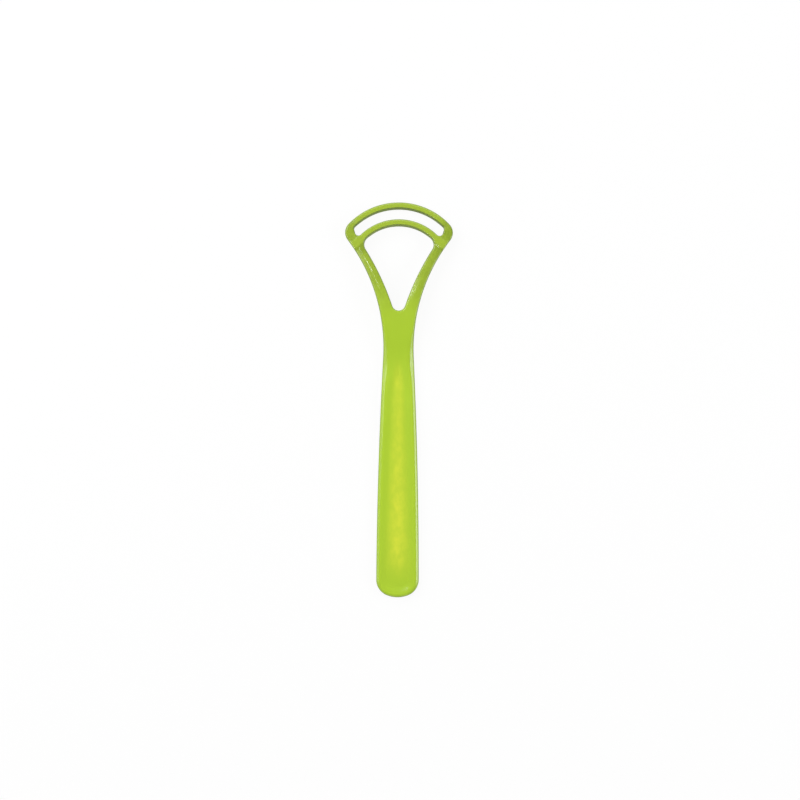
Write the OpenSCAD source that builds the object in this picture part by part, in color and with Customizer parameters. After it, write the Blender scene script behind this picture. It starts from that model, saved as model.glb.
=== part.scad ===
// Tongue scraper with two curved blades, moulded in one piece of green plastic.
// It lies on its back: X runs to the right, Y from the handle to the head, Z up out of the front face.
// Outlines are drawn with Y measured from the handle's end, and the finished tool is then centred.

/* [Whole tool] */
// Length, from the handle's end to the outer blade
tool_l = 165; // [150:1:185]
// Angle at which the head leans back, in degrees
head_tilt = 6.5; // [5.5:0.5:7.5]
// Height of the outer blade's lip above the surface that the tool lies on
lip_gap = 0.1; // [0.1:0.1:0.5]

/* [Handle] */
// Width of the handle at its rounded end
handle_w = 17.8; // [16.5:0.1:19]
// Thickness of the handle
handle_t = 3.2; // [2.6:0.1:3.8]
// Radius of the middle of the handle's rounded end
end_r = 12; // [10.5:0.1:13]
// Radius of the two corners of the handle's end
end_corner_r = 7; // [5.5:0.1:7.8]
// Width of the raised rim round the front of the handle
rim_w = 2; // [1.5:0.1:2.5]
// Depth of the dished front inside the rim
dish_depth = 0.4; // [0.2:0.1:0.8]

/* [Neck] */
// Width of the neck where it is narrowest
neck_w = 12.6; // [11.5:0.1:13.5]
// Distance from the narrowest part of the neck to the outer blade's front edge
head_l = 60.9; // [59:0.1:63]
// Radius of the sides that flare from the neck out to the shoulders
flare_r = 74.7; // [72:0.1:78]
// Radius of the arch of the neck, seen from the side
arch_r = 110; // [95:5:125]
// Radius of the hollow that leads from the handle up into the arch
hollow_r = 50; // [35:5:65]
// Length of the head's straight slope on its front
front_slope_l = 25; // [22:1:28]
// Length of the head's straight slope on its back
back_slope_l = 15; // [12:1:18]

/* [Opening between the arms] */
// Length of the opening, from its bottom to the inner blade
opening_l = 35.4; // [34:0.1:36.5]
// Width of the opening where it is widest, below the inner blade
opening_w = 28.9; // [28:0.1:29.8]
// Radius of the bottom of the opening
opening_foot_r = 2.8; // [2.3:0.1:3.1]
// Radius of the opening's two top corners
opening_corner_r = 3.7; // [2.8:0.1:4.2]
// Radius of the inner side of each arm
arm_in_r = 112; // [95:1:130]

/* [Blades] */
// Outer radius of the outer blade
outer_r = 28.85; // [28.2:0.05:29.6]
// Outer radius of the inner blade
inner_r = 22.55; // [22:0.05:23.2]
// Distance between the outer edges of the two blades, at the middle
blade_step = 7.15; // [6.8:0.05:7.6]
// Width of a blade, seen from the front
blade_w = 2.5; // [2.2:0.05:2.7]
// Depth of a blade, from its front face to its lip
blade_t = 3; // [2.6:0.1:3.4]
// Width of the scraping lip
lip_w = 0.5; // [0.3:0.1:0.8]
// How far the blade's inner face leans outward from its lip to its front
inner_lean = 0.2; // [0.1:0.1:0.4]
// Depth of the slope that is cut from the blade's back to leave the lip standing
back_cut = 1.4; // [1:0.1:1.8]
// Break of the blade's outer edge at the front
front_break = 0.4; // [0.2:0.1:0.6]
// Radius of the shoulders that join the arms to the outer blade
shoulder_r = 5.2; // [4.6:0.1:5.6]
// Radius of the corners at the ends of the slot between the blades
slot_corner_r = 1.45; // [1.1:0.05:1.7]
// How far the blades' lips stand behind the backs of the arms
lip_reach = 0.3; // [0.1:0.1:0.6]

/* [Hidden] */

// Facets of the drawn arcs stay this close to the true curve.
arc_sag = 0.01;
// Longer than the tool: the reach of shapes that only cut.
far = 250;
// Shapes that others are cut from run past the tool by this much, and stand this high.
past = 1;
block_h = 20;
green = [0.67, 0.80, 0.22];

// The slot between the blades ends in these directions, in degrees above the X axis.
slot_outer_a = 45.4;
slot_inner_a = 45.3;
// The arms start this far above the bottom of the opening.
arm_start = 7.3;
// The inner blade's curved run laps its straight ends by this many degrees.
lap_a = 0.5;

// ---- geometry helpers ----

function polar(c, r, a) = c + r * [cos(a), sin(a)];
function heading(a, b) = atan2(b.y - a.y, b.x - a.x);
function backward(pts) = [for (i = [len(pts) - 1 : -1 : 0]) pts[i]];
function mirrored(pts) = [for (p = backward(pts)) [-p.x, p.y]];

// Points on an arc, with just enough of them for arc_sag.
function arc(c, r, a0, a1) =
    let (n = max(2, ceil(abs(a1 - a0) * PI / 180 * r / sqrt(8 * r * arc_sag))))
    [for (i = [0 : n]) polar(c, r, a0 + (a1 - a0) * i / n)];

// The point at distance ra from a and rb from b, to the right of the way from a to b.
function meet(a, ra, b, rb) =
    let (d = norm(b - a), u = (b - a) / d, t = (d * d + ra * ra - rb * rb) / (2 * d))
    a + t * u + sqrt(ra * ra - t * t) * [u.y, -u.x];

// ---- centres of the outline's arcs, each touching the next ----

neck_y = tool_l - head_l;
waist = (handle_w - neck_w) / 2;
side_r = (neck_y * neck_y + waist * waist) / (2 * waist) - flare_r;

end_c = [0, end_r];
side_c = [handle_w / 2 - side_r, 0];
end_corner_c = meet(side_c, side_r - end_corner_r, end_c, end_r - end_corner_r);
flare_c = [neck_w / 2 + flare_r, neck_y];
outer_c = [0, tool_l - outer_r];
shoulder_c = meet(flare_c, flare_r + shoulder_r, outer_c, outer_r - shoulder_r);

// A blade's front edge stands this far ahead of its lip, because the head leans back.
lean = (blade_t - front_break) * tan(head_tilt);
inner_c = [0, tool_l - blade_step - inner_r];
opening_r = inner_r - blade_w - lean;
corner_x = opening_w / 2 - opening_corner_r;
corner_c = [corner_x, inner_c.y + sqrt(pow(opening_r - opening_corner_r, 2) - corner_x * corner_x)];
foot_c = [0, inner_c.y + opening_r - opening_l + opening_foot_r];
arm_in_c = meet(foot_c, arm_in_r + opening_foot_r, corner_c, arm_in_r + opening_corner_r);

slot_r = outer_r - blade_w - lean;
slot_outer_c = polar(outer_c, slot_r - slot_corner_r, slot_outer_a);
slot_inner_c = polar(inner_c, inner_r + slot_corner_r, slot_inner_a);
slot_end_a = heading(slot_inner_c, slot_outer_c) - 90;

// The inner blade's curved run ends where the opening's corner starts.
inner_end_a = heading(inner_c, corner_c);
shoulder_a = heading(outer_c, shoulder_c);

// ---- outlines seen from the front, right half only ----

// The handle's outline up to the neck, drawn inside the true one by inset.
function handle_side(inset) = concat(
    arc(end_c, end_r - inset, -90, heading(end_c, end_corner_c)),
    arc(end_corner_c, end_corner_r - inset, heading(end_c, end_corner_c), heading(side_c, end_corner_c)),
    arc(side_c, side_r - inset, heading(side_c, end_corner_c), heading(side_c, flare_c)));

silhouette_side = concat(
    handle_side(0),
    arc(flare_c, flare_r, 180 + heading(side_c, flare_c), heading(flare_c, shoulder_c)),
    arc(shoulder_c, shoulder_r, heading(shoulder_c, flare_c), shoulder_a),
    arc(outer_c, outer_r, shoulder_a, 90));

opening_side = concat(
    arc(foot_c, opening_foot_r, -90, heading(foot_c, arm_in_c)),
    arc(arm_in_c, arm_in_r, heading(arm_in_c, foot_c), heading(arm_in_c, corner_c)),
    arc(corner_c, opening_corner_r, heading(corner_c, arm_in_c), inner_end_a),
    arc(inner_c, opening_r, inner_end_a, 90));

slot_side = concat(
    arc(inner_c, inner_r, 90, slot_inner_a),
    arc(slot_inner_c, slot_corner_r, slot_inner_a - 180, slot_end_a),
    arc(slot_outer_c, slot_corner_r, slot_end_a, slot_outer_a),
    arc(outer_c, slot_r, slot_outer_a, 90));

module both_sides(side) polygon(concat(side, mirrored(side)));

module front_view() difference() {
    both_sides(silhouette_side);
    both_sides(opening_side);
    both_sides(slot_side);
}

// ---- the tool seen from the side, with Y across and Z up ----

// Centres of the arch and of the hollow of a face that is level at height level and then arches
// over to a slope that starts slope_l before the head's end and comes down to height end_z there.
function arch_c(end_z, slope_l) =
    [tool_l - slope_l, end_z + slope_l * tan(head_tilt)] - arch_r * [sin(head_tilt), cos(head_tilt)];
function hollow_c(level, end_z, slope_l) =
    let (a = arch_c(end_z, slope_l), rise = level + hollow_r - a.y)
    [a.x - sqrt(pow(arch_r + hollow_r, 2) - rise * rise), level + hollow_r];

function long_face(level, end_z, slope_l) =
    let (a = arch_c(end_z, slope_l), h = hollow_c(level, end_z, slope_l))
    concat([[-past, level]],
           arc(h, hollow_r, -90, heading(h, a)),
           arc(a, arch_r, heading(a, h), 90 - head_tilt),
           [[tool_l + past, end_z - past * tan(head_tilt)]]);

front_end_z = lip_gap + blade_t / cos(head_tilt);

module side_view() polygon(concat(
    long_face(handle_t, front_end_z, front_slope_l),
    backward(long_face(0, lip_gap + lip_reach, back_slope_l))));

// ---- where one region ends and the next starts ----

// The handle ends where its front starts to rise into the neck.
handle_top = hollow_c(handle_t, front_end_z, front_slope_l).x;
arm_foot = foot_c.y - opening_foot_r + arm_start;

// Turns what is drawn to the right of the inner blade's centre to the direction of its right end.
module inner_frame() translate(inner_c) rotate(inner_end_a) children();

// The straight strip that carries the inner blade on across the right arm.
module inner_end_strip() inner_frame() translate([opening_r, -far]) square([inner_r - opening_r, far]);

// The right half of the tool between the inner blade's straight end and the outer blade's end.
module shoulder_strip() {
    slot_inner_end = polar(inner_c, inner_r, slot_inner_a);
    slot_outer_end = polar(outer_c, slot_r, slot_outer_a);
    intersection() {
        inner_frame() translate([inner_r, -far]) square([far, 2 * far]);
        polygon([slot_inner_end, slot_outer_end, polar(outer_c, far, slot_outer_a), [far, inner_c.y],
                 [far, -far], slot_inner_end - [0, far]]);
    }
}

// ---- solids ----

// Puts what is drawn from the handle's end into place, centred along the tool's length.
module placed() translate([0, -tool_l / 2, 0]) children();

module block() translate([0, 0, -past]) linear_extrude(block_h) children();

// A region seen from the front, cut to the tool's side view.
module body() intersection() {
    block() children();
    rotate([90, 0, 90]) linear_extrude(far, center = true) side_view();
}

// The head's own frame, whose level plane holds both lips and leans back by head_tilt.
module on_head() translate([0, tool_l, lip_gap]) rotate([-head_tilt, 0, 0])
    translate([0, -tool_l - lean, 0]) children();

// Section of a blade of outer radius r: a wedge whose narrow lip lies at the back of its inner side.
module blade_section(r) polygon([
    [r - blade_w, 0],
    [r - blade_w + lip_w, 0],
    [r, back_cut],
    [r, blade_t - front_break],
    [r - front_break, blade_t],
    [r - blade_w + inner_lean, blade_t]]);

// The curved run of a blade between the directions end_a and 180 - end_a.
module blade_run(c, r, end_a) {
    // It is swept further than it is kept, because the sweep's ends lean with the head.
    swept_a = end_a - 5;
    intersection() {
        on_head() translate(c) rotate(swept_a)
            rotate_extrude(angle = 180 - 2 * swept_a, $fn = 180) blade_section(r);
        block() polygon([c, polar(c, far, end_a), polar(c, far, 180 - end_a)]);
    }
}

module handle() color(green) placed() difference() {
    body() intersection() {
        front_view();
        translate([-far, -far]) square([2 * far, far + handle_top]);
    }
    translate([0, 0, handle_t - dish_depth]) linear_extrude(block_h) intersection() {
        both_sides(handle_side(rim_w));
        translate([-far, -far]) square([2 * far, far + handle_top - rim_w]);
    }
}

module neck() color(green) placed() body() intersection() {
    front_view();
    translate([-far, handle_top]) square([2 * far, arm_foot - handle_top]);
}

module right_arm() color(green) placed() body() intersection() {
    front_view();
    translate([0, arm_foot]) square([far, far]);
    inner_frame() translate([opening_r - far, -far]) square([far, far]);
}

module left_arm() mirror([1, 0, 0]) right_arm();

module right_shoulder() color(green) placed() body() intersection() {
    front_view();
    shoulder_strip();
}

module left_shoulder() mirror([1, 0, 0]) right_shoulder();

module inner_blade() color(green) placed() {
    blade_run(inner_c, inner_r, inner_end_a - lap_a);
    for (side = [0, 1]) mirror([side, 0, 0]) body() intersection() {
        front_view();
        inner_end_strip();
    }
}

module outer_blade() color(green) placed() blade_run(outer_c, outer_r, slot_outer_a);

handle();
neck();
left_arm();
right_arm();
left_shoulder();
right_shoulder();
inner_blade();
outer_blade();
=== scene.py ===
# Tongue scraper with two curved blades, moulded in one piece of slightly translucent green plastic.
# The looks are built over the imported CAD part: each of its eight regions gets a finer closed mesh with
# rounded edges, a dished handle and leaning blade walls. All eight are cut from one common surface,
# so that the shading runs on from one region to the next without a seam.
import math
from collections import namedtuple

import bpy
import numpy as np
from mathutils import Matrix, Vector
from mathutils.geometry import delaunay_2d_cdt


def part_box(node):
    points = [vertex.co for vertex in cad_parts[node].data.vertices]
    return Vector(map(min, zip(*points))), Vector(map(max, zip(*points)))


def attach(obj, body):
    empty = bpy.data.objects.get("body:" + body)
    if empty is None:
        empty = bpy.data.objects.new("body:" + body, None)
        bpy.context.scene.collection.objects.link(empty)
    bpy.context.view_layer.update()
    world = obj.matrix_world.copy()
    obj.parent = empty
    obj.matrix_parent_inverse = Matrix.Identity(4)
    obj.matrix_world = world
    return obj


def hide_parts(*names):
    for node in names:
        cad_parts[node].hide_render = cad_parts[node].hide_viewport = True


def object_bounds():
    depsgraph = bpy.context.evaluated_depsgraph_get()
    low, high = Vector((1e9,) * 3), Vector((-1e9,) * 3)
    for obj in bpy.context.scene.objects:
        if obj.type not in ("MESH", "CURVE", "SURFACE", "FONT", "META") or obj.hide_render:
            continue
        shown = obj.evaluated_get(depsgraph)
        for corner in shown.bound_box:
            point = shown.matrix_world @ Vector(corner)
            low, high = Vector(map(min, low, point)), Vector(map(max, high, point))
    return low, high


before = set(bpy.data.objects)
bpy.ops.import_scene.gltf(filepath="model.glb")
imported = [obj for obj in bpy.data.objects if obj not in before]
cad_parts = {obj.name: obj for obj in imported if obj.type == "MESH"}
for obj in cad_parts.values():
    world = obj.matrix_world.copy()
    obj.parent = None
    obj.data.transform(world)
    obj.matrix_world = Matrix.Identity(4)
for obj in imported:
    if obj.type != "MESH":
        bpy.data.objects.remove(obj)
cad_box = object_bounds()
MM = 0.001

# ---- sizes in millimetres: x from the tool's centreline, s from the handle's end, z up ----

TOOL_L = (cad_box[1].y - cad_box[0].y) / MM
# Angle in degrees at which the head leans back, and the height of the outer blade's lip.
HEAD_TILT = 6.5
LIP_GAP = 0.1

HANDLE_W = 17.8
HANDLE_T = 3.2
END_R = 12.0
END_CORNER_R = 7.0
RIM_W = 2.0
DISH_DEPTH = 0.4
# The dish's wall is this wide, and this share of it lies outside the rim's inner line.
DISH_WALL_W = 3.4
DISH_WALL_OUT = 0.2
# The dish's upper end comes to a point here, between two curves of this radius.
DISH_TIP_S = 98.0
DISH_TIP_R = 62.0

NECK_W = 12.6
HEAD_L = 60.9
FLARE_R = 74.7
ARCH_R = 110.0
HOLLOW_R = 50.0
FRONT_SLOPE_L = 25.0
BACK_SLOPE_L = 15.0

OPENING_L = 35.4
OPENING_W = 28.9
OPENING_FOOT_R = 2.8
OPENING_CORNER_R = 3.7
ARM_IN_R = 112.0

OUTER_R = 28.85
INNER_R = 22.55
BLADE_STEP = 7.15
BLADE_W = 2.5
BLADE_T = 3.0
LIP_W = 0.5
INNER_LEAN = 0.2
BACK_CUT = 1.4
FRONT_BREAK = 0.4
LIP_REACH = 0.3
SHOULDER_R = 5.2
SLOT_CORNER_R = 1.45
# Directions in degrees in which the slot between the blades ends, seen from each blade's centre.
SLOT_OUTER_A = 45.4
SLOT_INNER_A = 45.3

# A blade's own section fades out at its ends over this angle in degrees, and this share of its wall's
# lean is left there.
BLADE_FADE_A = 6.0
END_LEAN = 0.8
# A leaning wall starts this far above the back.
LIP_ROUND = 0.2
# The blades stand proud of the arms and shoulders by a step of this height and width. It rises over
# RAISE_L along the tool, from RAISE_S on.
BLADE_RAISE = 0.2
RAISE_FADE = 0.5
RAISE_S = 140.0
RAISE_L = 6.0

# The front's edges are cut to a facet of this slope, softened where it meets the face.
FACET_SLOPE = math.tan(math.radians(30))
FACET_SOFT = 0.4
# The side's facet widens from here to the dish's tip, and is narrow again from here on.
FACET_WIDENS_S = 86.0
FACET_NARROW_S = 116.0
# The arms fall away from a soft ridge along their middle, more on their outer side.
ROOF_OUTER = math.tan(math.radians(15))
ROOF_INNER = math.tan(math.radians(5))
ROOF_SOFT = 0.3
ROOF_REACH = 4.0
ROOF_START_S = 117.0
ROOF_FULL_S = 130.0
ROOF_FADE_S = 144.5
ROOF_END_S = 148.0
# The thick arms and shoulders get painted shade, a deeper green. It sets in along the tool from
# PAINTED_SHADE_START_S to PAINTED_SHADE_FULL_S, and the arms get this share of what the shoulders get.
PAINTED_SHADE_START_S = 117.0
PAINTED_SHADE_FULL_S = 133.0
ARM_PAINTED_SHADE = 0.45
# The skin is drawn in by this share, so that it stays inside the solids' box.
INSET = 0.9996

# The mesh: rings of points at these depths inside every outline, and a triangle grid in between.
RING_DEPTHS = (0.02, 0.07, 0.15, 0.25, 0.36, 0.48, 0.62, 0.78, 0.96, 1.16, 1.4, 1.65, 1.9, 2.15, 2.4,
               2.7, 3.0)
# Arcs are stepped by at most this length and this angle in degrees.
POINT_STEP = 0.7
POINT_TURN = 7.5
GRID_STEP = 0.5
GRID_ROW = GRID_STEP * math.sqrt(0.75)
WALL_ROWS = 3
# The lines between regions run on by these lengths: across an arm, into the slot and past the tool.
ARM_CUT_L = 10.0
CUT_INTO_SLOT = 0.3
CUT_PAST_TOOL = 1.0

# How far off still counts as on it: past an arc's end (a share of the arc), outside an outline, off a
# ring, off a cut between two regions, off a blade's edge, and from one point to another.
END_SLACK = 1e-4
OUTLINE_SLACK = 0.02
RING_SLACK = 0.015
CUT_SLACK = 0.01
BLADE_SLACK = 0.1
POINT_SLACK = 1e-3
# Guards against division by nothing, and the depth of a point beside no arc.
TINY = 1e-6
FAR = 1e9


# ---- small geometry helpers ----

def polar(centre, radius, angle):
    turn = math.radians(angle)
    return np.array([centre[0] + radius * math.cos(turn), centre[1] + radius * math.sin(turn)])


def heading(a, b):
    return math.degrees(math.atan2(b[1] - a[1], b[0] - a[0]))


def meet(a, from_a, b, from_b):
    """The point at these distances from a and b, to the right of the way from a to b."""
    a, b = np.array(a, float), np.array(b, float)
    gap = np.linalg.norm(b - a)
    way = (b - a) / gap
    along = (gap ** 2 + from_a ** 2 - from_b ** 2) / (2 * gap)
    return a + along * way + math.sqrt(from_a ** 2 - along ** 2) * np.array([way[1], -way[0]])


def smooth(t):
    t = np.clip(t, 0, 1)
    return t * t * (3 - 2 * t)


def mix(a, b, t):
    return a + (b - a) * t


# ---- outlines: chains of arcs, right half only, as in the CAD ----

class Arc:
    """An arc of an outline. bulge is 1 where the plastic lies on its centre's side, and otherwise -1.
    front and back are the radii of its rounded edges, facet is the width of the front's facet, and
    lean is how far its wall leans out from the back to the front, all at the arc's start and end."""

    def __init__(self, centre, radius, start, end, bulge, front, back, facet=(0, 0), lean=(0, 0)):
        self.centre = np.array(centre, float)
        self.radius = radius
        self.start = start
        self.end = end
        self.bulge = bulge
        self.styles = (front, back, facet, lean)

    def points(self, depth):
        turn = abs(self.end - self.start)
        steps = math.ceil(max(math.radians(turn) * self.radius / POINT_STEP, turn / POINT_TURN, 1))
        radius = self.radius - self.bulge * depth
        return [polar(self.centre, radius, mix(self.start, self.end, i / steps)) for i in range(steps + 1)]

    def share(self, p):
        """How far along the arc each point lies, from 0 to 1 where it is beside the arc."""
        angle = angle_about(self.centre, p)
        middle = (self.start + self.end) / 2
        return 0.5 + ((angle - middle + 180) % 360 - 180) / (self.end - self.start)

    def depth(self, p):
        return self.bulge * (self.radius - distance_from(self.centre, p))


def angle_about(centre, p):
    return np.degrees(np.arctan2(p[:, 1] - centre[1], p[:, 0] - centre[0]))


def distance_from(centre, p):
    return np.linalg.norm(p - np.array(centre), axis=1)


def chain(arcs, depth):
    points = []
    for arc in arcs:
        points += arc.points(depth)[1 if points else 0:]
    return points


Edge = namedtuple("Edge", "depth front back facet lean")


def nearest_edge(arcs, p):
    """How deep each point lies inside an outline, and the style of the outline's edge nearest to it."""
    depth = np.full(len(p), FAR)
    found = np.zeros((4, len(p)))
    for arc in arcs:
        share = arc.share(p)
        inside = arc.depth(p)
        beside = (share > -END_SLACK) & (share < 1 + END_SLACK)
        near = beside & (inside > -OUTLINE_SLACK) & (inside < depth)
        depth = np.where(near, inside, depth)
        for row, style in enumerate(arc.styles):
            found[row] = np.where(near, mix(style[0], style[1], smooth(share)), found[row])
    return Edge(np.maximum(depth, 0), *found)


neck_s = TOOL_L - HEAD_L
waist = (HANDLE_W - NECK_W) / 2
side_r = (neck_s ** 2 + waist ** 2) / (2 * waist) - FLARE_R
end_c = (0, END_R)
side_c = (HANDLE_W / 2 - side_r, 0)
end_corner_c = meet(side_c, side_r - END_CORNER_R, end_c, END_R - END_CORNER_R)
flare_c = (NECK_W / 2 + FLARE_R, neck_s)
outer_c = (0, TOOL_L - OUTER_R)
shoulder_c = meet(flare_c, FLARE_R + SHOULDER_R, outer_c, OUTER_R - SHOULDER_R)

tilt = math.radians(HEAD_TILT)
lean = (BLADE_T - FRONT_BREAK) * math.tan(tilt)
inner_c = (0, TOOL_L - BLADE_STEP - INNER_R)
opening_r = INNER_R - BLADE_W - lean
corner_x = OPENING_W / 2 - OPENING_CORNER_R
corner_c = (corner_x, inner_c[1] + math.sqrt((opening_r - OPENING_CORNER_R) ** 2 - corner_x ** 2))
foot_c = (0, inner_c[1] + opening_r - OPENING_L + OPENING_FOOT_R)
arm_in_c = meet(foot_c, ARM_IN_R + OPENING_FOOT_R, corner_c, ARM_IN_R + OPENING_CORNER_R)
slot_r = OUTER_R - BLADE_W - lean
slot_outer_c = polar(outer_c, slot_r - SLOT_CORNER_R, SLOT_OUTER_A)
slot_inner_c = polar(inner_c, INNER_R + SLOT_CORNER_R, SLOT_INNER_A)
slot_end_a = heading(slot_inner_c, slot_outer_c) - 90
inner_end_a = heading(inner_c, corner_c)
shoulder_a = heading(outer_c, shoulder_c)

wall_lean = INNER_LEAN + BLADE_T * math.sin(tilt)
blade_lean = (END_LEAN * wall_lean, wall_lean)


def side_turn(s):
    """Direction of the handle's side at s, from the centre of its arc."""
    return math.degrees(math.asin(s / side_r))


def flare_turn(s):
    """Direction of the neck's flaring side at s, from the centre of its arc."""
    return 180 - math.degrees(math.asin((s - neck_s) / FLARE_R))


def arm_turn(s):
    """Direction of the arm's inner side at s, from the centre of its arc."""
    return 180 - math.degrees(math.asin((s - arm_in_c[1]) / ARM_IN_R))


silhouette = [
    Arc(end_c, END_R, -90, heading(end_c, end_corner_c), 1, (0.5, 0.5), (0.7, 0.7), (0.9, 0.9)),
    Arc(end_corner_c, END_CORNER_R, heading(end_c, end_corner_c), heading(side_c, end_corner_c), 1,
        (0.5, 0.5), (0.7, 0.7), (0.9, 1.3)),
    Arc(side_c, side_r, heading(side_c, end_corner_c), side_turn(FACET_WIDENS_S), 1,
        (0.5, 0.5), (0.7, 0.7), (1.3, 1.3)),
    Arc(side_c, side_r, side_turn(FACET_WIDENS_S), side_turn(DISH_TIP_S), 1,
        (0.5, 0.5), (0.7, 0.8), (1.3, 1.9)),
    Arc(side_c, side_r, side_turn(DISH_TIP_S), heading(side_c, flare_c), 1,
        (0.5, 0.6), (0.8, 1.0), (1.9, 1.7)),
    Arc(flare_c, FLARE_R, 180 + heading(side_c, flare_c), flare_turn(FACET_NARROW_S), -1,
        (0.6, 0.7), (1.0, 1.0), (1.7, 0.6)),
    Arc(flare_c, FLARE_R, flare_turn(FACET_NARROW_S), flare_turn(ROOF_FULL_S), -1,
        (0.7, 0.6), (1.0, 0.8), (0.6, 0)),
    Arc(flare_c, FLARE_R, flare_turn(ROOF_FULL_S), heading(flare_c, shoulder_c), -1,
        (0.6, 0.6), (0.8, 0.7)),
    Arc(shoulder_c, SHOULDER_R, heading(shoulder_c, flare_c), shoulder_a, 1,
        (0.6, 0.5), (0.7, 0.5), (0, 0.7)),
    Arc(outer_c, OUTER_R, shoulder_a, 90, 1, (0.5, FRONT_BREAK), (0.5, 0.2), (0.7, 0.6))]

opening = [
    Arc(foot_c, OPENING_FOOT_R, -90, heading(foot_c, arm_in_c), -1, (0.9, 0.6), (0.9, 0.8), (0.1, 0.5)),
    Arc(arm_in_c, ARM_IN_R, heading(arm_in_c, foot_c), arm_turn(ROOF_FULL_S), 1,
        (0.6, 0.6), (0.8, 0.8), (0.5, 0.3)),
    Arc(arm_in_c, ARM_IN_R, arm_turn(ROOF_FULL_S), heading(arm_in_c, corner_c), 1,
        (0.6, 0.6), (0.8, 0.6), (0.3, 0.5)),
    Arc(corner_c, OPENING_CORNER_R, heading(corner_c, arm_in_c), inner_end_a, -1,
        (0.6, 0.2), (0.6, 0.1), (0.5, 0), (0, blade_lean[0])),
    Arc(inner_c, opening_r, inner_end_a, 90, -1, (0.2, 0.2), (0.1, 0.1), (0, 0), blade_lean)]

slot = [
    Arc(inner_c, INNER_R, 90, SLOT_INNER_A, 1, (0.3, 0.3), (0.2, 0.4), (0.6, 0.5)),
    Arc(slot_inner_c, SLOT_CORNER_R, SLOT_INNER_A - 180, slot_end_a, -1,
        (0.4, 0.4), (0.4, 0.4), (0.2, 0.3)),
    Arc(slot_outer_c, SLOT_CORNER_R, slot_end_a, SLOT_OUTER_A, -1,
        (0.4, 0.2), (0.4, 0.1), (0.3, 0), (0, blade_lean[0])),
    Arc(outer_c, slot_r, SLOT_OUTER_A, 90, -1, (0.2, 0.2), (0.1, 0.1), (0, 0), blade_lean)]

OUTLINES = (silhouette, opening, slot)


# ---- heights of the front and of the back ----

def arch_centre(end_z, slope_l):
    top = np.array([TOOL_L - slope_l, end_z + slope_l * math.tan(tilt)])
    return top - ARCH_R * np.array([math.sin(tilt), math.cos(tilt)])


def hollow_centre(level, end_z, slope_l):
    arch = arch_centre(end_z, slope_l)
    rise = level + HOLLOW_R - arch[1]
    return np.array([arch[0] - math.sqrt((ARCH_R + HOLLOW_R) ** 2 - rise ** 2), level + HOLLOW_R])


def long_face(s, level, end_z, slope_l):
    """Height of a face that is level, runs through a hollow up into an arch and slopes down the head."""
    arch = arch_centre(end_z, slope_l)
    hollow = hollow_centre(level, end_z, slope_l)
    turn_s = mix(hollow[0], arch[0], HOLLOW_R / (HOLLOW_R + ARCH_R))
    in_hollow = hollow[1] - np.sqrt(np.maximum(HOLLOW_R ** 2 - (s - hollow[0]) ** 2, 0))
    on_arch = arch[1] + np.sqrt(np.maximum(ARCH_R ** 2 - (s - arch[0]) ** 2, 0))
    on_slope = end_z + (TOOL_L - s) * math.tan(tilt)
    z = np.where(s < hollow[0], level, in_hollow)
    z = np.where(s > turn_s, on_arch, z)
    return np.where(s > TOOL_L - slope_l, on_slope, z)


front_end_z = LIP_GAP + BLADE_T / math.cos(tilt)
handle_top = hollow_centre(HANDLE_T, front_end_z, FRONT_SLOPE_L)[0]
arm_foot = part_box("left_arm")[0].y / MM + TOOL_L / 2


def rounding(depth, radius):
    """How far a rounded edge lies below its face, at this depth in from the outline."""
    run = np.clip(radius - depth, 0, radius)
    return radius - np.sqrt(radius ** 2 - run ** 2)


def facet_drop(depth, width):
    """How far an edge's facet lies below its face."""
    over = width - depth
    soft = np.minimum(FACET_SOFT, width) + TINY
    bend = np.where(np.abs(over) < soft, (over + soft) ** 2 / (4 * soft), np.maximum(over, 0))
    return FACET_SLOPE * bend * (width > 0)


def roof_drop(s, out_depth, in_depth):
    """How far an arm's front falls away from its ridge, which keeps midway between its two sides."""
    off = np.clip((in_depth - out_depth) / 2, -ROOF_REACH, ROOF_REACH)
    mean = (ROOF_OUTER + ROOF_INNER) / 2
    skew = (ROOF_OUTER - ROOF_INNER) / 2
    drop = np.maximum(mean * (np.hypot(off, ROOF_SOFT) - ROOF_SOFT) + skew * off, 0)
    drop = drop * (1 - smooth((s - ROOF_FADE_S) / (ROOF_END_S - ROOF_FADE_S)))
    return drop * smooth((s - ROOF_START_S) / (ROOF_FULL_S - ROOF_START_S))


def head_frame(p):
    """Distance along and across the right end of the inner blade, measured from its centre."""
    turn = math.radians(inner_end_a)
    x = p[:, 0] - inner_c[0]
    y = p[:, 1] - inner_c[1]
    return x * math.cos(turn) + y * math.sin(turn), y * math.cos(turn) - x * math.sin(turn)


def inner_reach(p):
    """Distance from the inner blade's centre, which goes on straight past the blade's curved run."""
    along, across = head_frame(p)
    return np.where(across > 0, np.hypot(along, across), along)


def blade_weights(p):
    """How much each point belongs to the outer and to the inner blade's curved run."""
    outer = smooth((angle_about(outer_c, p) - SLOT_OUTER_A) / BLADE_FADE_A)
    outer = outer * (distance_from(outer_c, p) > slot_r - BLADE_SLACK)
    inner = smooth((angle_about(inner_c, p) - inner_end_a) / BLADE_FADE_A)
    reach = inner_reach(p)
    return outer, inner * (reach > opening_r - BLADE_SLACK) * (reach < INNER_R + BLADE_SLACK)


def blade_cover(p, outer):
    """How far each point is on a blade, or on the band that carries the inner blade across an arm."""
    reach = inner_reach(p)
    past_band = np.maximum(opening_r - reach, reach - INNER_R)
    return np.maximum(smooth(1 - past_band / RAISE_FADE), outer)


def blade_back(p, centre, radius):
    """Height of a blade's back: a level lip at its inner side, and a slope that falls away behind it."""
    rise = np.sin(np.radians(angle_about(centre, p)))
    across = distance_from(centre, p) + lean * rise - (radius - BLADE_W)
    lip_z = LIP_GAP + (TOOL_L - p[:, 1]) * math.tan(tilt)
    return lip_z + BACK_CUT * np.clip((across - LIP_W) / (BLADE_W - LIP_W), 0, 1)


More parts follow.
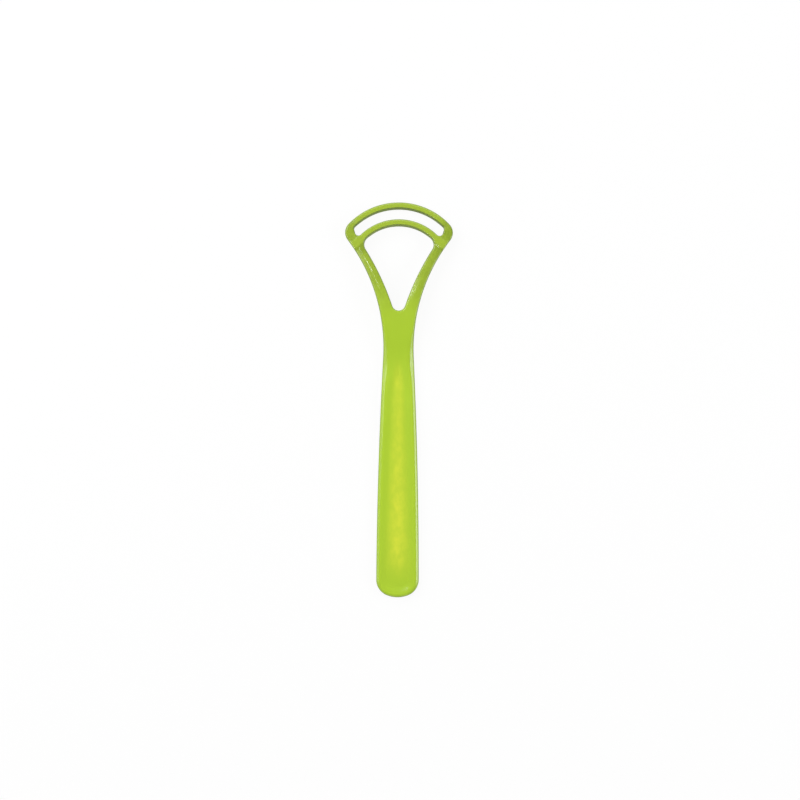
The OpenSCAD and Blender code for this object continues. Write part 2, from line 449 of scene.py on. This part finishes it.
def dish(p, depth):
    """How deep the handle's dished front lies below its rim. Its upper end comes to a point."""
    half_w = HANDLE_W / 2 - RIM_W
    tip_drop = math.sqrt(DISH_TIP_R ** 2 - (DISH_TIP_R - half_w) ** 2)
    bow_c = (half_w - DISH_TIP_R, DISH_TIP_S - tip_drop)
    from_rim = depth - RIM_W
    from_bow = DISH_TIP_R - distance_from(bow_c, p)
    inside = np.where(p[:, 1] > bow_c[1], np.minimum(from_bow, from_rim), from_rim)
    return DISH_DEPTH * smooth(inside / DISH_WALL_W + DISH_WALL_OUT)


def uncut_front(p, edges, on_blade):
    """Height of the front's faces, before its edges are cut."""
    s = p[:, 1]
    off_blade = BLADE_RAISE * smooth((s - RAISE_S) / RAISE_L) + roof_drop(s, edges[0].depth, edges[1].depth)
    face = long_face(s, HANDLE_T, front_end_z, FRONT_SLOPE_L) - dish(p, edges[0].depth)
    return face - (1 - on_blade) * off_blade


def whole_back(p, edges, outer, inner):
    """Height of the back: rounded edges, and each blade's lip and slope."""
    back = long_face(p[:, 1], 0, LIP_GAP + LIP_REACH, BACK_SLOPE_L)
    back = back + np.max([rounding(e.depth, e.back) for e in edges], axis=0)
    back = mix(back, blade_back(p, outer_c, OUTER_R), outer)
    return mix(back, blade_back(p, inner_c, INNER_R), inner)


def cut_front(front, back, edges):
    """Height of the front with its facets, its rounded edges and the blades' leaning walls."""
    top = front
    for e in edges:
        top = np.minimum(top, front - facet_drop(e.depth, e.facet) - rounding(e.depth - e.lean, e.front))
    foot_z = back + LIP_ROUND
    for e in edges:
        on_wall = foot_z + (front - e.front - foot_z) * e.depth / np.maximum(e.lean, TINY)
        top = np.where(e.depth < e.lean, np.minimum(top, on_wall), top)
    return top


def heights(p):
    """Front and back height of the plastic at each point of the right half, and its painted shade."""
    edges = [nearest_edge(outline, p) for outline in OUTLINES]
    s = p[:, 1]
    outer, inner = blade_weights(p)
    on_blade = blade_cover(p, outer)
    back = whole_back(p, edges, outer, inner)
    front = cut_front(uncut_front(p, edges, on_blade), back, edges)
    # Painted shade: a deeper green on the arms and shoulders, off the blades.
    deep = smooth((s - PAINTED_SHADE_START_S) / (PAINTED_SHADE_FULL_S - PAINTED_SHADE_START_S))
    deep = deep * mix(ARM_PAINTED_SHADE, 1, smooth((s - RAISE_S) / RAISE_L)) * (1 - on_blade)
    return front, back, deep


# ---- the right half seen from the front, as triangles that each belong to one CAD node ----

domain = np.array([(0, 0)] + chain(silhouette, 0)[1:] + chain(slot, 0)[::-1] + chain(opening, 0)[::-1])


def depth_inside(p):
    return np.min([nearest_edge(outline, p).depth for outline in OUTLINES], axis=0)


def inside_polygon(p, polygon):
    hits = np.zeros(len(p), bool)
    for start, end in zip(polygon, np.roll(polygon, -1, axis=0)):
        spans = (start[1] > p[:, 1]) != (end[1] > p[:, 1])
        with np.errstate(divide="ignore", invalid="ignore"):
            cross_x = start[0] + (p[:, 1] - start[1]) * (end[0] - start[0]) / (end[1] - start[1])
        hits ^= spans & (p[:, 0] < cross_x)
    return hits


def add_line(points, edges, line):
    first = len(points)
    points += [tuple(p) for p in line]
    edges += [(i, i + 1) for i in range(first, len(points) - 1)]


def add_ring(points, edges, arcs, depth):
    """Adds the stretches of a ring that lie no nearer to another outline than to their own."""
    line = np.array(chain(arcs, depth))
    kept = depth_inside(line) > depth - RING_SLACK
    run = []
    for point, wanted in zip(line, kept):
        if wanted:
            run.append(point)
        else:
            add_line(points, edges, run)
            run = []
    add_line(points, edges, run)


def straight(a, b):
    """Points along a straight line, about a grid step apart."""
    a, b = np.array(a, float), np.array(b, float)
    steps = math.ceil(np.linalg.norm(b - a) / GRID_STEP)
    return [mix(a, b, i / steps) for i in range(steps + 1)]


def cut_lines():
    """The straight lines between one region and the next."""
    turn = math.radians(inner_end_a)
    across_arm = ARM_CUT_L * np.array([math.sin(turn), -math.cos(turn)])
    inner_cut = polar(inner_c, opening_r, inner_end_a)
    outer_cut = polar(inner_c, INNER_R, inner_end_a)
    return [
        straight((0, handle_top), (HANDLE_W, handle_top)),
        straight((0, arm_foot), (HANDLE_W, arm_foot)),
        straight(inner_cut, outer_cut),
        straight(inner_cut, inner_cut + across_arm),
        straight(outer_cut, outer_cut + across_arm),
        straight(polar(outer_c, slot_r - CUT_INTO_SLOT, SLOT_OUTER_A),
                 polar(outer_c, OUTER_R + CUT_PAST_TOOL, SLOT_OUTER_A))]


def grid_points():
    """Points of a triangle grid that are clear of the rings."""
    points = []
    for row in range(1, int(TOOL_L / GRID_ROW)):
        for column in range(int(OUTER_R / GRID_STEP)):
            points.append(((column + 0.5 * (row % 2)) * GRID_STEP, row * GRID_ROW))
    points = np.array(points)
    clear = depth_inside(points) > RING_DEPTHS[-1] + GRID_STEP / 2
    return points[inside_polygon(points + [POINT_SLACK, 0], domain) & clear]


def region_names(p):
    """The CAD node that each point of the right half belongs to, with no side in its name."""
    reach = inner_reach(p)
    along, across = head_frame(p)
    beside = (across < 0) & (p[:, 1] > arm_foot)
    past_slot = distance_from(outer_c, p) > slot_r - BLADE_SLACK
    names = np.full(len(p), "shoulder", dtype=object)
    names[(reach > opening_r - CUT_SLACK) & (reach < INNER_R + CUT_SLACK)] = "inner_blade"
    names[beside & (along < opening_r)] = "arm"
    names[(angle_about(outer_c, p) > SLOT_OUTER_A) & past_slot] = "outer_blade"
    names[p[:, 1] < arm_foot] = "neck"
    names[p[:, 1] < handle_top] = "handle"
    return names


def flat_half():
    """The flat points of the right half, its triangles and the name of each triangle's region."""
    points, edges = [], []
    add_line(points, edges, list(domain) + [domain[0]])
    for outline in OUTLINES:
        for depth in RING_DEPTHS:
            add_ring(points, edges, outline, depth)
    for line in cut_lines():
        add_line(points, edges, line)
    points += [tuple(p) for p in grid_points()]
    result = delaunay_2d_cdt([Vector(p) for p in points], edges, [], 0, POINT_SLACK)
    flat = np.array([tuple(v) for v in result[0]])
    faces = np.array([tuple(f) for f in result[2]])
    faces = faces[inside_polygon(flat[faces].mean(axis=1), domain)]
    return flat, faces, region_names(flat[faces].mean(axis=1))


def whole_tool():
    """The flat points of the whole tool, its triangles and the CAD node of each."""
    flat, faces, names = flat_half()
    flat[np.abs(flat[:, 0]) < POINT_SLACK, 0] = 0
    centred = flat[:, 0] == 0
    # A triangle with all its corners on the centreline has no width, and is left out.
    has_area = ~centred[faces].all(axis=1)
    faces, names = faces[has_area], names[has_area]
    twin = np.where(centred, 0, len(flat)) + np.arange(len(flat))
    both = np.concatenate([flat, flat * [-1, 1]])
    sided = ("arm", "shoulder")
    right = ["right_" + n if n in sided else n for n in names]
    left = ["left_" + n if n in sided else n for n in names]
    return both, np.concatenate([faces, twin[faces][:, ::-1]]), np.array(right + left)


# ---- one common surface, cut into the CAD's eight regions ----

# The points of the surface level by level from the front to the back, with their normals and painted
# shade, the outline's edges, and how many points a level has.
Surface = namedtuple("Surface", "points normals deep walls count")


def open_edges(faces):
    """The directed edges of these triangles that no neighbour among them shares."""
    directed = [(f[i], f[(i + 1) % 3]) for f in faces for i in range(3)]
    present = set(directed)
    return [(a, b) for a, b in directed if (b, a) not in present]


def with_back(triangles, count):
    """The front's triangles, and after them the same ones on the back, which face the other way."""
    last = WALL_ROWS * count
    return triangles + [(c + last, b + last, a + last) for a, b, c in triangles]


def wall_strip(a, b, count):
    """The quads below the edge from a to b of the front, one for each row of the wall."""
    rows = range(WALL_ROWS)
    return [((k + 1) * count + a, (k + 1) * count + b, k * count + b, k * count + a) for k in rows]


def skin_normals(points, groups):
    """Normals at the points of the whole surface, each face counting by its area."""
    normals = np.zeros_like(points)
    for faces in groups:
        faces = np.array(faces)
        corners = points[faces]
        areas = np.cross(corners[:, 1] - corners[:, 0], corners[:, -1] - corners[:, 0])
        for column in range(faces.shape[1]):
            np.add.at(normals, faces[:, column], areas)
    return normals / np.maximum(np.linalg.norm(normals, axis=1), TINY ** 2)[:, None]


def common_surface(flat, triangles):
    front, back, deep = heights(np.abs(flat))
    levels = [mix(front, back, k / WALL_ROWS) for k in range(WALL_ROWS + 1)]
    points = np.concatenate([np.column_stack([flat, level]) for level in levels])
    count = len(flat)
    walls = open_edges(triangles)
    quads = [quad for a, b in walls for quad in wall_strip(a, b, count)]
    normals = skin_normals(points, (with_back(triangles, count), quads))
    return Surface(points, normals, np.tile(deep, len(levels)), set(walls), count)


def build_piece(name, own, surface):
    """One region as a closed mesh: its front, its back, its outer walls and the walls of its cuts."""
    skin = with_back(own, surface.count)
    cuts = []
    for a, b in open_edges(own):
        if (a, b) in surface.walls:
            skin += wall_strip(a, b, surface.count)
        else:
            cuts += wall_strip(a, b, surface.count)
    used = sorted(set(i for face in skin + cuts for i in face))
    place = {old: new for new, old in enumerate(used)}
    mesh = bpy.data.meshes.new(name + "_shape")
    points = (surface.points[used] - [0, TOOL_L / 2, 0]) * MM * INSET
    mesh.from_pydata(points.tolist(), [], [[place[i] for i in face] for face in skin + cuts])
    mesh.update()
    mesh.shade_smooth()
    corner_normals = [tuple(surface.normals[i]) for face in skin for i in face]
    for polygon in mesh.polygons[len(skin):]:
        corner_normals += [tuple(polygon.normal)] * len(polygon.vertices)
    mesh.normals_split_custom_set(corner_normals)
    # The painted shade of each point goes along as the attribute deep.
    mesh.attributes.new("deep", "FLOAT", "POINT").data.foreach_set("value", surface.deep[used])
    piece = bpy.data.objects.new("smooth_" + name, mesh)
    bpy.context.scene.collection.objects.link(piece)
    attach(piece, "root")
    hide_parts(name)
    return piece


def build_pieces():
    flat, faces, names = whole_tool()
    triangles = [tuple(int(i) for i in face) for face in faces]
    surface = common_surface(flat, triangles)
    return [build_piece(name, [t for t, n in zip(triangles, names) if n == name], surface)
            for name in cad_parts]


# ---- material ----

# The plastic's colours: plain, in darker clouds, a painted glow on the thin dish, painted shade on the
# head, on the thick arms and shoulders, and on facets and walls.
GREEN = (0.425, 0.622, 0.034, 1)
CLOUD = (0.360, 0.540, 0.030, 1)
PAINTED_GLOW = (0.700, 0.760, 0.050, 1)
PAINTED_HEAD_SHADE = (0.325, 0.435, 0.038, 1)
PAINTED_THICK_SHADE = (0.245, 0.345, 0.027, 1)
PAINTED_WALL_SHADE = (0.170, 0.240, 0.020, 1)
# From which to which y in metres the colour changes along the tool. Where the painted glow
# narrows, its half width goes from the first of GLOW_HALF_W to the second.
GLOW_STARTS = (-0.0775, -0.0625)
GLOW_ENDS = (0.0185, 0.0065)
GLOW_STRENGTHENS = (-0.010, -0.045)
GLOW_NARROWS = (-0.067, 0.0147)
GLOW_HALF_W = (0.0054, 0.0026)
# The painted shade on the head, standing for less light there, sets in from the first y to the second.
HEAD_STARTS = (0.025, 0.06)
# The painted glow is gone at this many half widths from the middle. It keeps these shares of its strength
# where it is weak along the tool, and between its clouds.
GLOW_REACH = 1.25
GLOW_WEAK = 0.72
GLOW_GAPS = 0.56
# A face turns into a facet, and then into a steep wall, as the size of its normal's z goes down; both
# get painted shade, darker the steeper they are.
FACET_Z = (0.96, 0.86)
STEEP_Z = (0.80, 0.35)
# How much of the green each tint takes over at most, and what the streaks leave of the painted shade on
# the thick parts.
CLOUD_SHARE = 0.22
GLOW_SHARE = 0.85
HEAD_SHARE = 0.8
FACET_SHARE = 0.18
STEEP_SHARE = 0.8
STREAK_LEAST = 0.45
# The roughness of plain faces is uneven, and facets and steep walls are duller.
PLAIN_ROUGH = (0.13, 0.19)
FACET_ROUGH = 0.27
STEEP_ROUGH = 0.6
# Scales of the noise patterns, where more is finer. A long pattern has this share of its scale along Y.
CLOUD_SCALE = 90
GLOW_SCALE = 420
STREAK_SCALE = 330
GLOSS_SCALE = 700
GRAIN_SCALE = 2600
WAVE_SCALE = 230
LONG_PATTERN = (1, 0.55, 1)
# A pattern goes from its low to its high over these values of the noise.
NOISE_RANGE = (0.3, 0.7)
NOISE_CORE = (0.35, 0.65)
# Strength, and height in metres, of the grain and of the waves in the surface.
GRAIN_BUMP = {"Strength": 0.04, "Distance": 0.00005}
WAVE_BUMP = {"Strength": 0.015, "Distance": 0.0005}


class Nodes:
    """Short ways to add the nodes of one material and to link them."""

    def __init__(self, name):
        self.material = bpy.data.materials.new(name)
        self.material.use_nodes = True
        self.tree = self.material.node_tree
        self.tree.nodes.clear()

    def add(self, kind, inputs=(), **settings):
        node = self.tree.nodes.new("ShaderNode" + kind)
        for key, value in settings.items():
            setattr(node, key, value)
        for key, value in dict(inputs).items():
            if isinstance(value, bpy.types.NodeSocket):
                self.tree.links.new(value, node.inputs[key])
            else:
                node.inputs[key].default_value = value
        return node

    def math(self, operation, a, b=0.0):
        return self.add("Math", {0: a, 1: b}, operation=operation).outputs[0]

    def ramp(self, value, low, high, to_low=0.0, to_high=1.0, kind="SMOOTHSTEP"):
        """value taken from the range low to high into the range to_low to to_high."""
        inputs = {0: value, 1: low, 2: high, 3: to_low, 4: to_high}
        return self.add("MapRange", inputs, interpolation_type=kind).outputs[0]

    def noise(self, vector, scale, detail=2.0, roughness=0.5):
        inputs = {"Vector": vector, "Scale": scale, "Detail": detail, "Roughness": roughness}
        return self.add("TexNoise", inputs).outputs["Fac"]

    def mix_colour(self, share, a, b):
        return self.add("Mix", {0: share, 6: a, 7: b}, data_type="RGBA").outputs[2]

    def finish(self, shader):
        self.add("OutputMaterial", {0: shader.outputs[0]})
        return self.material


def painted_glow_share(n, place, stretched):
    """How much glow is painted for light let through the thin dish: most along its middle, in soft clouds.
    """
    x, y = n.add("SeparateXYZ", {0: place}).outputs[:2]
    half_w = n.ramp(y, *GLOW_NARROWS, *GLOW_HALF_W, kind="LINEAR")
    across = n.math("DIVIDE", n.math("ABSOLUTE", x), half_w)
    clouds = n.noise(stretched, GLOW_SCALE, 3.0, 0.55)
    fades = (
        n.ramp(y, *GLOW_STARTS),
        n.ramp(y, *GLOW_ENDS),
        n.ramp(y, *GLOW_STRENGTHENS, GLOW_WEAK, 1.0),
        n.ramp(clouds, *NOISE_RANGE, GLOW_GAPS, 1.0))
    glow = n.ramp(across, 0.0, GLOW_REACH, GLOW_SHARE, 0.0)
    for fade in fades:
        glow = n.math("MULTIPLY", glow, fade)
    return glow


def green_plastic():
    """Moulded lime green: glossy, a little mottled, with a painted yellow glow where the thin dish lets
    light through, and painted shade on the head, the thick arms and shoulders, and the walls.
    """
    n = Nodes("green_plastic")
    coordinates = n.add("TexCoord").outputs
    place = coordinates["Object"]
    stretched = n.add("Mapping", {"Vector": place, "Scale": LONG_PATTERN}).outputs[0]
    along = n.add("SeparateXYZ", {0: place}).outputs[1]
    facing = n.math("ABSOLUTE", n.add("SeparateXYZ", {0: coordinates["Normal"]}).outputs[2])
    facet = n.ramp(facing, *FACET_Z)
    steep = n.ramp(facing, *STEEP_Z)
    # The attribute deep carries the painted shade of the thick arms and shoulders.
    deep = n.add("Attribute", attribute_name="deep").outputs["Fac"]
    streaks = n.ramp(n.noise(place, STREAK_SCALE, 3.0, 0.6), *NOISE_CORE, STREAK_LEAST, 1.0)
    tints = (
        (n.ramp(n.noise(stretched, CLOUD_SCALE), *NOISE_CORE, 0.0, CLOUD_SHARE), CLOUD),
        # Painted glow: yellower where light comes through the thin dish.
        (painted_glow_share(n, place, stretched), PAINTED_GLOW),
        # Painted shade over the head.
        (n.ramp(along, *HEAD_STARTS, 0.0, HEAD_SHARE), PAINTED_HEAD_SHADE),
        # Painted shade on the thick arms and shoulders, broken by streaks.
        (n.math("MULTIPLY", deep, streaks), PAINTED_THICK_SHADE),
        # Painted shade on facets and steep walls.
        (n.math("MULTIPLY", facet, FACET_SHARE), PAINTED_WALL_SHADE),
        (n.math("MULTIPLY", steep, STEEP_SHARE), PAINTED_WALL_SHADE))
    colour = GREEN
    for share, tint in tints:
        colour = n.mix_colour(share, colour, tint)
    rough = n.ramp(n.noise(place, GLOSS_SCALE), *NOISE_RANGE, *PLAIN_ROUGH)
    rough = n.math("MAXIMUM", rough, n.math("MULTIPLY", facet, FACET_ROUGH))
    rough = n.math("MAXIMUM", rough, n.math("MULTIPLY", steep, STEEP_ROUGH))
    grain = n.noise(place, GRAIN_SCALE)
    waves = n.noise(stretched, WAVE_SCALE, 1.0)
    bump = n.add("Bump", {**GRAIN_BUMP, "Height": grain}).outputs[0]
    bump = n.add("Bump", {**WAVE_BUMP, "Height": waves, "Normal": bump}).outputs[0]
    return n.finish(n.add("BsdfPrincipled", {"Base Color": colour, "Roughness": rough, "IOR": 1.49,
                                             "Normal": bump}))


# ---- floor, lamps and camera, in metres ----

# A round floor lies just under the tool, and a round backdrop starts a little lower.
STAGE_R = 3.0
STAGE_SIDES = 96
FLOOR_Z = -0.00005
BACKDROP_Z = -0.001
BACKDROP_H = 1.6
# How white the stage is to the camera and in reflections. The rest of it is the light that falls on it.
STAGE_WHITE = 0.93

# Strength of the even light from all round.
WORLD_LIGHT = 0.2
# Soft lamps: name, place, width and height, and watts. The left and right ones make the pale lines along
# the edges, and the narrow ridge lamp makes the one on the left arm.
LAMPS = (
    ("left_lamp", (-0.70, 0.38, 0.64), (0.8, 0.75), 7.4),
    ("right_lamp", (0.80, -0.07, 0.46), (0.5, 0.32), 3.8),
    ("top_lamp", (0.0, 0.85, 0.52), (0.9, 0.35), 2.6),
    ("ridge_lamp", (-0.29, 0.255, 1.17), (0.06, 0.26), 1.6),
    ("handle_lamp", (-0.80, -0.22, 0.46), (0.35, 0.24), 0.65),
    ("end_lamp", (0.0, -0.90, 0.37), (0.7, 0.12), 0.5))

# The camera stands this high. The picture is this wide at the height of what it shows, and the camera
# is turned and moved off the tool's middle as in the photograph.
CAMERA_HEIGHT = 0.62
VIEW_WIDTH = 0.3343
SHOWN_HEIGHT = 0.002
ROLL = 0.25
OFF_CENTRE = (0.00073, -0.00004)
SENSOR_W = 36
VIEW_END = 20


def white_stage():
    """A white floor and a low round backdrop. They show white to the camera and in reflections, dimmed
    by a share of the tool's shadow, and light the tool only as far as the lamps light them."""
    n = Nodes("white_stage")
    path = n.add("LightPath").outputs
    seen = n.math("MAXIMUM", path["Is Camera Ray"], path["Is Glossy Ray"])
    seen = n.math("MAXIMUM", seen, path["Is Transmission Ray"])
    share = n.math("MULTIPLY", seen, STAGE_WHITE)
    diffuse = n.add("BsdfDiffuse", {"Color": (0.9, 0.9, 0.9, 1)})
    white = n.add("Emission", {"Color": (1, 1, 1, 1), "Strength": 1.0})
    material = n.finish(n.add("MixShader", {0: share, 1: diffuse.outputs[0], 2: white.outputs[0]}))
    bpy.ops.mesh.primitive_circle_add(vertices=STAGE_SIDES, radius=STAGE_R, fill_type="NGON",
                                      location=(0, 0, FLOOR_Z))
    floor = bpy.context.active_object
    floor.name = "floor"
    bpy.ops.mesh.primitive_cylinder_add(vertices=STAGE_SIDES, radius=STAGE_R, depth=BACKDROP_H,
                                        end_fill_type="NOTHING",
                                        location=(0, 0, BACKDROP_H / 2 + BACKDROP_Z))
    backdrop = bpy.context.active_object
    backdrop.name = "backdrop"
    for part in (floor, backdrop):
        part.data.materials.append(material)


def area_lamp(name, place, size, power):
    """A soft lamp that faces the middle of the tool."""
    lamp = bpy.data.lights.new(name, "AREA")
    lamp.shape = "RECTANGLE"
    lamp.size, lamp.size_y = size
    lamp.energy = power
    holder = bpy.data.objects.new(name, lamp)
    holder.location = place
    holder.rotation_euler = (-Vector(place)).to_track_quat("-Z", "Y").to_euler()
    bpy.context.scene.collection.objects.link(holder)


def studio_light():
    """A dim even light from all round, and the lamps."""
    world = bpy.data.worlds.new("studio")
    bpy.context.scene.world = world
    world.use_nodes = True
    background = world.node_tree.nodes["Background"]
    background.inputs["Color"].default_value = (1, 1, 1, 1)
    background.inputs["Strength"].default_value = WORLD_LIGHT
    for name, place, size, power in LAMPS:
        area_lamp(name, place, size, power)


def overhead_camera():
    """Straight above the tool, with the framing of the photograph."""
    camera = bpy.data.cameras.new("camera")
    camera.sensor_width = SENSOR_W
    camera.lens = camera.sensor_width * (CAMERA_HEIGHT - SHOWN_HEIGHT) / VIEW_WIDTH
    camera.clip_end = VIEW_END
    holder = bpy.data.objects.new("camera", camera)
    holder.location = (*OFF_CENTRE, CAMERA_HEIGHT)
    holder.rotation_euler = (0, 0, math.radians(ROLL))
    bpy.context.scene.collection.objects.link(holder)
    bpy.context.scene.camera = holder


overhead_camera()
studio_light()
white_stage()
plastic = green_plastic()
for piece in build_pieces():
    piece.data.materials.append(plastic)

bpy.context.scene.view_settings.view_transform = "Standard"
